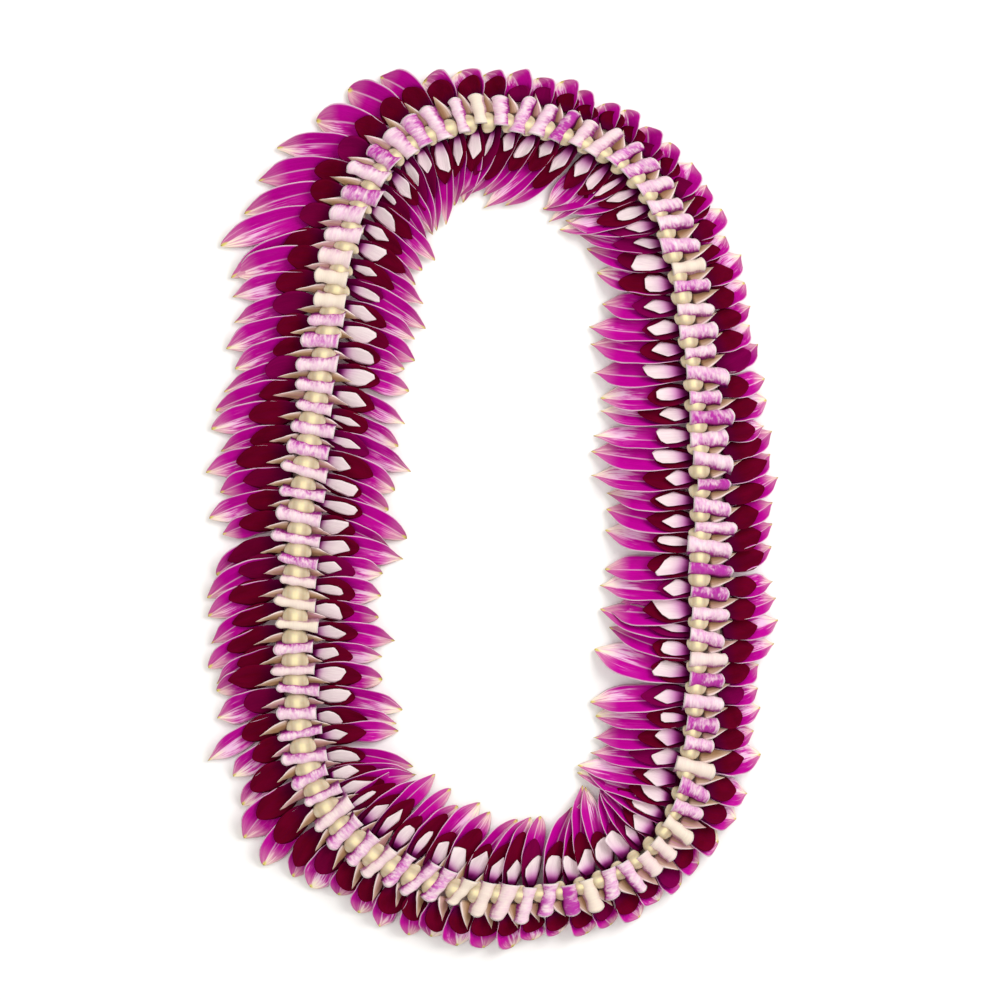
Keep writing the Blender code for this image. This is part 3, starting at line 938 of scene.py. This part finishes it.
# %% Grow the petals
ROUND_PETAL = [(0, 0.5), (0.2, 0.78), (0.45, 1), (0.74, 1), (0.87, 0.84), (0.94, 0.6),
               (0.98, 0.32), (1, 0)]
SHARP_PETAL = [(0, 0.5), (0.2, 0.78), (0.42, 0.98), (0.66, 1), (0.78, 0.84), (0.88, 0.45),
               (0.94, 0.17), (0.97, 0.08), (1, 0)]
PETAL_LEANS = {
    INNER: [(0, 0.05), (0.1, 0), (0.4, 0), (0.46, 0.2), (0.5, 0.12), (0.55, 0),
            (0.8, 0), (0.88, 0.25), (0.95, 0.15)],
    OUTER: [(0, 0.25), (0.07, 0.4), (0.15, 0.2), (0.3, 0.1), (0.42, 0), (0.62, 0),
            (0.8, 0.05), (0.9, 0.4)],
}
PETAL_BREADTHS = {
    INNER: [(0, 0.95), (0.3, 1), (0.5, 1.04), (0.75, 1.16), (0.9, 1.04)],
    OUTER: [(0, 1.2), (0.08, 1.02), (0.3, 1), (0.7, 1), (0.9, 1.15)],
}
PETAL_STRETCH = {
    INNER: [(0, 1)],
    OUTER: [(0, 0.98), (0.05, 1.16), (0.09, 1.1), (0.14, 1)],
}
extras = random.Random(SEED + 1)
petal_tree = blade_tree("Petal", ROUND_PETAL, SHARP_PETAL)
for name, side, half_width in (("inner_petals", INNER, 7.1), ("outer_petals", OUTER, 7.2)):
    rows = scaled(arms(side, extras, 0.17, PETAL_LEANS[side]), "fullness", PETAL_BREADTHS[side])
    grow(name, "petals", petal_tree, scaled(rows, "tip", PETAL_STRETCH[side]), PLAIN_BLADE | {
        "Steps along": 24, "Steps across": 13, "Start": CORE_REACH - 2 * MM,
        "Half width": half_width * MM, "Tilt at root": math.radians(46),
        "Tilt at tip": math.radians(20), "Lift": 0.0, "Cup": 0.26, "Pocket": 0.1,
        "Wave": 0.5 * MM, "Curl": 0.6 * MM, "Face": PETAL_FACE, "Back": PETAL_BACK})

# %% Grow the lobes
ROUND_LOBE = [(0, 0.45), (0.15, 0.7), (0.35, 0.93), (0.58, 1), (0.78, 0.9), (0.9, 0.7),
              (0.97, 0.42), (1, 0)]
SHARP_LOBE = [(0, 0.45), (0.15, 0.7), (0.35, 0.93), (0.55, 0.98), (0.75, 0.74), (0.9, 0.36),
              (0.97, 0.14), (1, 0)]
LOBE_LEANS = {
    INNER: PETAL_LEANS[INNER],
    OUTER: [(0, 0.1), (0.07, 0.3), (0.15, 0.15), (0.3, 0), (0.85, 0), (0.93, -0.2)],
}
LOBE_REACHES = {
    INNER: [(0, 1)],
    OUTER: [(0, 0.85), (0.07, 0.76), (0.14, 0.84), (0.22, 1), (0.7, 1), (0.9, 0.9)],
}
lobe_tree = blade_tree("Lobe", ROUND_LOBE, SHARP_LOBE)
for name, side, share_of_petal in (("inner_lobes", INNER, 0.93), ("outer_lobes", OUTER, 0.78)):
    rows = scaled(arms(side, extras, 0.13, LOBE_LEANS[side]), "length", LOBE_REACHES[side])
    grow(name, "lips", lobe_tree, rows, PLAIN_BLADE | {
        "Steps along": 18, "Steps across": 11, "Start": CORE_REACH - 1 * MM,
        "Share": share_of_petal, "Limit": 30 * MM, "Half width": 6.5 * MM,
        "Tilt at root": math.radians(34), "Tilt at tip": math.radians(22), "Lift": 2.4 * MM,
        "Cup": 0.15, "Pocket": 0.2, "Wave": 0.25 * MM, "Face": LOBE_FACE, "Back": LOBE_FACE})

# %% [markdown]
# ## The throat patches and the folds
#
# A throat patch lies inside each inner lobe.  Its tip is cut off straight on some blooms and
# comes to a point on others, so its outline has sharp corners.  The folds are small stiff
# points, one on each side of the column.  The rolls are skewed on some stretches of the loop,
# and the folds and columns drift along it with them, so that they stay between two rolls.

# %% Grow the throat patches
CUT_PATCH = [(0, 0.35), (0.5, 0.95), (0.88, 1), (1, 0.6)]
KITE_PATCH = [(0, 0.35), (0.5, 0.9), (0.64, 1), (1, 0.05)]
PATCH_POINTS = (0.0, 0.3, 1.0, 1.0)
PATCH_WIDTHS = (0.55, 0.8, 0.95, 1.0, 1.05, 1.15)
PATCH_SHARES = (0.9, 1.06)
PATCH_BREADTHS = [(0, 0.95), (0.15, 1), (0.4, 1), (0.52, 1.45), (0.68, 1.1), (0.9, 1.05)]
PATCH_REACHES = [(0, 0.95), (0.2, 1), (0.42, 1), (0.52, 0.88), (0.6, 0.9), (0.7, 1)]
patch_tree = blade_tree("Patch", CUT_PATCH, KITE_PATCH, "VECTOR")
rows = scaled(arms(INNER, extras, 0.13, LOBE_LEANS[INNER], 0.9), "fullness", PATCH_BREADTHS)
for row in scaled(rows, "tip", PATCH_REACHES):
    row["point"] = extras.choice(PATCH_POINTS)
    row["fullness"] *= extras.choice(PATCH_WIDTHS)
    row["tip"] *= extras.uniform(*PATCH_SHARES)
grow("throat_patches", "strips", patch_tree, rows, PLAIN_BLADE | {
    "Steps along": 22, "Steps across": 9, "Start": 8 * MM, "Share": 0.53, "Limit": 26 * MM,
    "Half width": 4.25 * MM, "Tilt at root": math.radians(36), "Tilt at tip": math.radians(26),
    "Lift": 4.0 * MM, "Cup": -0.05, "Pocket": 0.4, "Wave": 0.1 * MM, "Shift": -0.4 * MM,
    "Face": PATCH_FACE, "Back": PATCH_FACE})

# %% Grow the folds
FOLD_OUTLINE = [(0, 1), (0.3, 0.8), (0.6, 0.45), (0.85, 0.16), (1, 0)]
FOLD_BREADTHS = [(0, 1.5), (0.2, 1), (0.42, 1), (0.52, 1.5), (0.9, 1.5)]
FOLD_PLACE = 6 * MM       # from the loop to the middle of a fold
KNOB_SHIFTS = [(0, 5.5), (0.1, 3.5), (0.2, 0), (0.42, 0), (0.5, 4.6), (0.6, 4.8),
               (0.7, 6), (0.9, 5.6)]   # mm from the loop towards the hole
HIDDEN_SHIFT = 3.0        # a column shifted this far covers the inner fold
ROLL_SKEWS = [(0, -4), (0.06, -12), (0.14, -4), (0.2, 3), (0.4, 3), (0.45, 20), (0.49, 15),
              (0.53, 4), (0.6, 3), (0.84, 5), (0.9, 15), (0.95, 20), (0.98, 6)]   # degrees


def drift(bloom, inward):
    """How far a piece this far towards the hole moves along the loop beside skewed rolls."""
    return bloom.along * inward * math.tan(math.radians(blend(ROLL_SKEWS, bloom.fraction)))


shifts = [blend(KNOB_SHIFTS, bloom.fraction) for bloom in blooms]
fold_tree = blade_tree("Fold", FOLD_OUTLINE, FOLD_OUTLINE)
for name, side, limit in (("inner_folds", INNER, 15), ("outer_folds", OUTER, 19)):
    rows = scaled(arms(side, extras, 0.1), "fullness", FOLD_BREADTHS)
    for bloom, row, shift in zip(blooms, rows, shifts):
        row["centre"] = bloom.centre + drift(bloom, side * FOLD_PLACE)
        if side == OUTER:
            row["centre"] += bloom.inward * shift * MM
    if side == INNER:
        rows = [row for row, shift in zip(rows, shifts) if shift < HIDDEN_SHIFT]
    grow(name, "strips", fold_tree, rows, PLAIN_BLADE | {
        "Steps along": 14, "Steps across": 9, "Start": 5.0 * MM, "Share": 0.8,
        "Limit": limit * MM, "Half width": 2.9 * MM, "Tilt at root": math.radians(26),
        "Tilt at tip": math.radians(22), "Lift": 4.8 * MM, "Rise": 0.1, "Cup": -0.25,
        "Pocket": 0.0, "Wave": 0.3 * MM, "Thickness": 0.5 * MM, "Shift": 3.0 * MM,
        "Face": FOLD_FACE, "Back": FOLD_FACE})

# %% [markdown]
# ## The rolled petals
#
# One pale petal of each bloom is rolled over the top of the lei like a curl of paper.  A short
# foot lies flat upstream, and the petal rises from it, turns over and comes down over the
# column.  Its inner end flares and is cut square, and its outer end is rounded.  The tree bends
# the same kind of grid, this time round an axis across the lei.

# %% The tree of a roll
FLAT_HEIGHT = 11.1 * MM
SHEET_TURN = 4.9          # radians that the whole sheet would turn
FOOT_TURN = 0.9           # radians of it that lie flat in the foot
NARROWING = 0.12          # how much tighter the roll gets towards its free edge
RIPPLE = 0.25 * MM
ROLL_STEPS = ("Steps around", "Steps along")
ROLL_NUMBERS = ("Radius", "Flare", "Slope", "Round", "Foot", "Thickness")


def roll_tree():
    tree, given, end = sheet_tree("Roll", ROLL_STEPS, ROLL_NUMBERS)
    u, v = blade_map(tree)
    half, tall, skew, size, seed, cone = read(
        tree, "FLOAT", "half", "tall", "skew", "size", "seed", "cone")
    centre, along, outward = read(tree, "FLOAT_VECTOR", "centre", "along", "outward")
    flare = 1 + given["Flare"] * v.size() ** 3 * (0.65 + v * 0.35) + cone * v
    radius = given["Radius"] * size * flare * (1 - NARROWING * u)
    turn = (u * SHEET_TURN - FOOT_TURN).math("MAXIMUM", 0.0)
    foot = u.fall(0, 0.2)
    middle = FLAT_HEIGHT + tall - given["Radius"] * size
    wave = (v * 7 + seed * 30).sin() * RIPPLE
    rounding = given["Round"] * (1 - v) / 2 * turn.cos() ** 2
    reach = 1.03 - given["Slope"] * u - rounding
    body = given["Thickness"] * (1 - v ** 14) * (1 - (u * 2 - 1) ** 20)
    rise = upward(tree)

    def place(depth):
        ring = radius - depth + wave
        forward = ring * turn.cos() * -1 - foot * given["Foot"] + skew * v * half
        level = middle + ring * turn.sin() - foot * (middle - FLAT_HEIGHT)
        return add_up(tree, (centre, 1), (along, forward), (outward, v * half * reach),
                      (rise, level))

    skins(tree, given, end, place, body, ROLL_STEPS)
    return tree


print(len(ROLL_NUMBERS), "numbers describe a roll")

# %% Grow the rolls
ROLL_RADIUS = 3.45 * MM
ROLL_TONES = [(0, 0.45), (0.15, 0.45), (0.4, 0.5), (0.6, 0.52), (0.75, 0.66), (0.9, 0.55)]
ROLL_SIZES = [(0, 1), (0.1, 1.12), (0.2, 0.83), (0.35, 0.72), (0.5, 1), (0.7, 0.9)]
ROLL_LENGTHS = [(0, 0.8), (0.1, 0.92), (0.2, 1.04), (0.4, 1.04), (0.49, 0.76), (0.57, 0.78),
                (0.67, 0.95), (0.84, 0.95), (0.93, 0.82)]
ALONG_SPREAD = 0.8        # mm that a roll may be off its place, along the loop
ACROSS_SPREAD = 1.5
TONE_SPREAD = 0.26


def roll_row(bloom, draw):
    """The sizes of one bloom's roll."""
    skew = blend(ROLL_SKEWS, bloom.fraction)
    tone = blend(ROLL_TONES, bloom.fraction)
    return {
        "centre": (bloom.centre + bloom.along * draw.uniform(-ALONG_SPREAD, ALONG_SPREAD) * MM
                   + bloom.inward * draw.uniform(-ACROSS_SPREAD, ACROSS_SPREAD) * MM),
        "along": bloom.along, "outward": bloom.inward, "tall": bloom.roll_height,
        "half": (bloom.roll_half_length * blend(ROLL_LENGTHS, bloom.fraction)
                 * draw.uniform(0.82, 1.1)),
        "skew": math.tan(bloom.skew + math.radians(draw.uniform(-8, 8) + skew)),
        "size": blend(ROLL_SIZES, bloom.fraction) * draw.uniform(0.8, 1.16),
        "cone": draw.uniform(-0.14, 0.14), "seed": draw.random(),
        "tone": share(draw.gauss(tone, TONE_SPREAD)),
    }


rolls = [roll_row(bloom, extras) for bloom in blooms]
grow("rolled_petals", "strips", roll_tree(), rolls, {
    "Steps around": 30, "Steps along": 15, "Radius": ROLL_RADIUS, "Flare": 0.2, "Slope": 0.08,
    "Round": 0.15, "Foot": 1.3 * MM, "Thickness": 0.5 * MM, "Face": ROLL_FACE,
    "Back": ROLL_BACK})

# %% [markdown]
# ## The columns and the bases
#
# The column is a small waxy knob with a ridge in its middle and a lobe on either side, and
# the base is the fleshy ring that the thread runs through.  Both are whole little bodies, not
# blades, so each is modelled once in mesh code, in a few variants, and the tree puts a copy
# on every point, turned to the bloom.

# %% A tree that places copies
def copies_tree():
    tree, given, end = shaping_tree("Copies", {"Variants": "Collection", "Finish": "Material"})
    along, scale = read(tree, "FLOAT_VECTOR", "along", "scale")
    variants = add_node(tree, "GeometryNodeCollectionInfo", {
        "Collection": given["Variants"], "Separate Children": True, "Reset Children": True})
    turned = add_node(tree, "FunctionNodeAlignRotationToVector", {"Vector": along}, axis="Y")
    placed = add_node(tree, "GeometryNodeInstanceOnPoints", {
        "Points": given["Geometry"], "Instance": variants, "Pick Instance": True,
        "Instance Index": read(tree, "FLOAT", "pick")[0], "Rotation": turned, "Scale": scale})
    real = add_node(tree, "GeometryNodeRealizeInstances", {"Geometry": placed})
    coloured = add_node(tree, "GeometryNodeSetMaterial", {
        "Geometry": real, "Material": given["Finish"]})
    plug(tree, end.inputs["Geometry"], coloured)
    return tree


def add_variant(family, name, rings, closed_ends):
    """Object skinned from equal rings of points, added to a collection of variants."""
    shape = bmesh.new()
    uv = shape.loops.layers.uv.new("UVMap")
    rows = [[shape.verts.new(point) for point in ring] for ring in rings]
    count = len(rows[0])
    for first, second in zip(rows, rows[1:]):
        for i in range(count):
            j = (i + 1) % count
            shape.faces.new((first[i], first[j], second[j], second[i]))
    if closed_ends:
        shape.faces.new(rows[0])
        shape.faces.new(rows[-1])
    spans = [(min(v.co[k] for v in shape.verts), max(v.co[k] for v in shape.verts))
             for k in (1, 0)]
    for face in shape.faces:
        for loop in face.loops:
            loop[uv].uv = [(loop.vert.co[k] - low) / (high - low)
                           for k, (low, high) in zip((1, 0), spans)]
    mesh = bpy.data.meshes.new(name)
    shape.to_mesh(mesh)
    shape.free()
    family.objects.link(bpy.data.objects.new(name, mesh))


def copy_row(draw, variants):
    """Which variant a copy is, and the two numbers that its finish reads."""
    return {"pick": float(draw.randrange(variants)), "seed": draw.random(),
            "tone": draw.random()}


placing = copies_tree()
print("one tree places the columns and the bases:", placing.name)

# %% Model and place the columns
COLUMN_SIZE = (6.3 * MM, 3.2 * MM, 3.4 * MM)   # half its width, length and height
COLUMN_RINGS = 15
COLUMN_SIDES = 32
COLUMN_VARIANTS = 4
COLUMN_TUCK = 1.7 * MM    # how far each end of it goes under a roll
KNOB_WIDTHS = [(0, 0.78), (0.15, 1), (0.42, 1.04), (0.5, 0.72), (0.58, 0.74), (0.7, 0.86),
               (0.9, 0.8)]


def column_rings(draw):
    """Rings of a knob from back to front: it flares to a blunt front with a raised middle."""
    wide, long, tall = COLUMN_SIZE
    groove_place = draw.uniform(0.44, 0.54)
    ridge = draw.uniform(0.3, 0.38)
    rings = []
    for i in range(COLUMN_RINGS):
        t = -math.cos(math.pi * i / (COLUMN_RINGS - 1))
        flare = 0.86 + 0.14 * math.sin(min(1.0, t + 0.6) * math.pi / 2)
        ring = []
        for k in range(COLUMN_SIDES):
            a = 2 * math.pi * k / COLUMN_SIDES
            x = math.copysign(abs(math.cos(a)) ** 0.8, math.cos(a))
            groove = 0.05 * math.exp(-((abs(x) - groove_place) / 0.1) ** 2)
            swell = 0.78 + 0.22 * math.exp(-(x / ridge) ** 2) - groove
            z = math.sin(a) * (1 - abs(t) ** 3) ** 0.5 * swell
            y = t * (1 - groove * 0.8 - 0.2 * x ** 8)
            ring.append((x * flare * (1 - abs(t) ** 5) ** 0.35 * wide, y * long, z * tall))
        rings.append(ring)
    return rings


column_family = bpy.data.collections.new("column variants")
for number in range(COLUMN_VARIANTS):
    add_variant(column_family, f"column_variant_{number}", column_rings(extras), True)
columns = []
for bloom, roll, after, shift in zip(blooms, rolls, rolls[1:] + rolls[:1], shifts):
    width = blend(KNOB_WIDTHS, bloom.fraction) * extras.uniform(0.92, 1.04)
    lip, foot = roll["size"] * ROLL_RADIUS, PITCH - after["size"] * ROLL_RADIUS
    half_length = (foot - lip) / 2 + COLUMN_TUCK
    columns.append({
        "centre": (bloom.centre + bloom.along * (lip + foot + 0.4 * MM) / 2
                   + bloom.inward * (shift * MM) + drift(bloom, shift * MM)
                   + UP * (FLAT_HEIGHT + 1.6 * MM)),
        "along": bloom.along,
        "scale": Vector((width, half_length / COLUMN_SIZE[1], 1.0)),
        **copy_row(extras, COLUMN_VARIANTS),
    })
grow("columns", "strips", placing, columns, {
    "Variants": column_family, "Finish": COLUMN_FACE})

# %% Model and place the bases
BASE_VARIANTS = 3
BASE_SIDES = 28
BASE_PROFILE = [(-1, 0), (-1, 0.7), (-0.7, 0.95), (0, 1.04), (0.7, 0.95), (1, 0.7), (1, 0)]
BORE_HALVES = (1.7, 1.4)  # mm, half its width and height; the rest alike
BASE_HALVES = (7.2, 4.6)
BASE_HALF_LENGTH = 5.2
BASE_MIDDLE = 4.0         # height of its middle


def base_rings(draw):
    """Rings of a ribbed bead round the thread, from its bore out and back again."""
    ribs = draw.choice((7, 8, 9))
    rings = []
    for t, size in BASE_PROFILE:
        ring = []
        for k in range(BASE_SIDES):
            a = 2 * math.pi * k / BASE_SIDES
            rib = 1 + 0.05 * math.cos(ribs * a)
            wide, tall = (bore + (base * rib - bore) * size
                          for bore, base in zip(BORE_HALVES, BASE_HALVES))
            z = max(BASE_MIDDLE + math.sin(a) * tall, 0.0)
            ring.append((math.cos(a) * wide * MM, t * BASE_HALF_LENGTH * MM, z * MM))
        rings.append(ring)
    return rings


base_family = bpy.data.collections.new("base variants")
for number in range(BASE_VARIANTS):
    add_variant(base_family, f"base_variant_{number}", base_rings(extras), False)
bases = [{
    "centre": bloom.centre, "along": bloom.along, "scale": Vector((1, 1, 1)),
    **copy_row(extras, BASE_VARIANTS),
} for bloom in blooms]
grow("bloom_bases", "petals", placing, bases, {
    "Variants": base_family, "Finish": BASE_FACE})

# %% [markdown]
# ## The thread
#
# The thread runs inside the bases and its shape in the solid model is right, so it stays and
# only gets a finish: undyed cotton, with a twist that a wave along its length suggests.

# %% Cotton thread
def cotton():
    material, shader = new_material("cotton_thread", 0.9)
    tree = material.node_tree
    place = add_node(tree, "ShaderNodeTexCoord").outputs["Object"]
    wave = add_node(tree, "ShaderNodeTexWave", {"Vector": place, "Scale": 900.0},
                    bands_direction="DIAGONAL")
    colour = add_node(tree, "ShaderNodeMix", {
        0: wave.outputs["Fac"], 6: tint(236, 230, 214), 7: tint(196, 188, 166)},
        data_type="RGBA")
    bump = add_node(tree, "ShaderNodeBump", {
        "Height": wave.outputs["Fac"], "Distance": 0.1 * MM, "Strength": 0.5})
    plug(tree, shader.inputs["Base Color"], colour.outputs[2])
    plug(tree, shader.inputs["Normal"], bump)
    return material


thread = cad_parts["lei_thread"]
thread.data.materials.clear()
thread.data.materials.append(cotton())
print("thread:", len(thread.data.polygons), "triangles")

# %% [markdown]
# ## Floor, light and camera
#
# The lei lies on a plain white surface under wide, soft light, a little stronger from the
# upper right, and the camera looks straight down on it.

# %% Floor and light
FLOOR_HALF = 3            # metres
LAMPS = {                 # place and width in metres, and watts
    "key": ((0.9, 0.6, 1.2), 0.9, 16.5),
    "fill": ((-0.8, -0.3, 1.5), 1.4, 4),
}
SKY_COLOUR = (1, 0.98, 0.96, 1)
SKY_STRENGTH = 0.78


def add_floor():
    mesh = bpy.data.meshes.new("floor")
    corners = [(x * FLOOR_HALF, y * FLOOR_HALF, 0)
               for x, y in ((-1, -1), (1, -1), (1, 1), (-1, 1))]
    mesh.from_pydata(corners, [], [(0, 1, 2, 3)])
    material, shader = new_material("white_floor", 0.8)
    shader.inputs["Base Color"].default_value = tint(250, 249, 247)
    mesh.materials.append(material)
    add_object("floor", mesh)


def add_lamp(name, place, size, watts):
    lamp = bpy.data.lights.new(name, "AREA")
    lamp.size = size
    lamp.energy = watts
    holder = add_object(name, lamp)
    holder.location = place
    holder.rotation_euler = (-Vector(place)).to_track_quat("-Z", "Y").to_euler()


add_floor()
for name, settings in LAMPS.items():
    add_lamp(name, *settings)
world = bpy.data.worlds.new("studio")
world.use_nodes = True
sky = world.node_tree.nodes["Background"]
sky.inputs["Color"].default_value = SKY_COLOUR
sky.inputs["Strength"].default_value = SKY_STRENGTH
bpy.context.scene.world = world
bpy.context.scene.view_settings.view_transform = "Standard"
print("lights:", len(bpy.data.lights))

# %% Camera
VIEW_WIDTH = 0.478        # metres
CAMERA_HEIGHT = 1.6
VIEW_CENTRE = (0.0038, 0.0043)
camera = bpy.data.cameras.new("camera")
camera.lens = CAMERA_HEIGHT * camera.sensor_width / VIEW_WIDTH
eye = add_object("camera", camera)
eye.location = (*VIEW_CENTRE, CAMERA_HEIGHT)
bpy.context.scene.camera = eye
print("lens:", round(camera.lens), "mm")
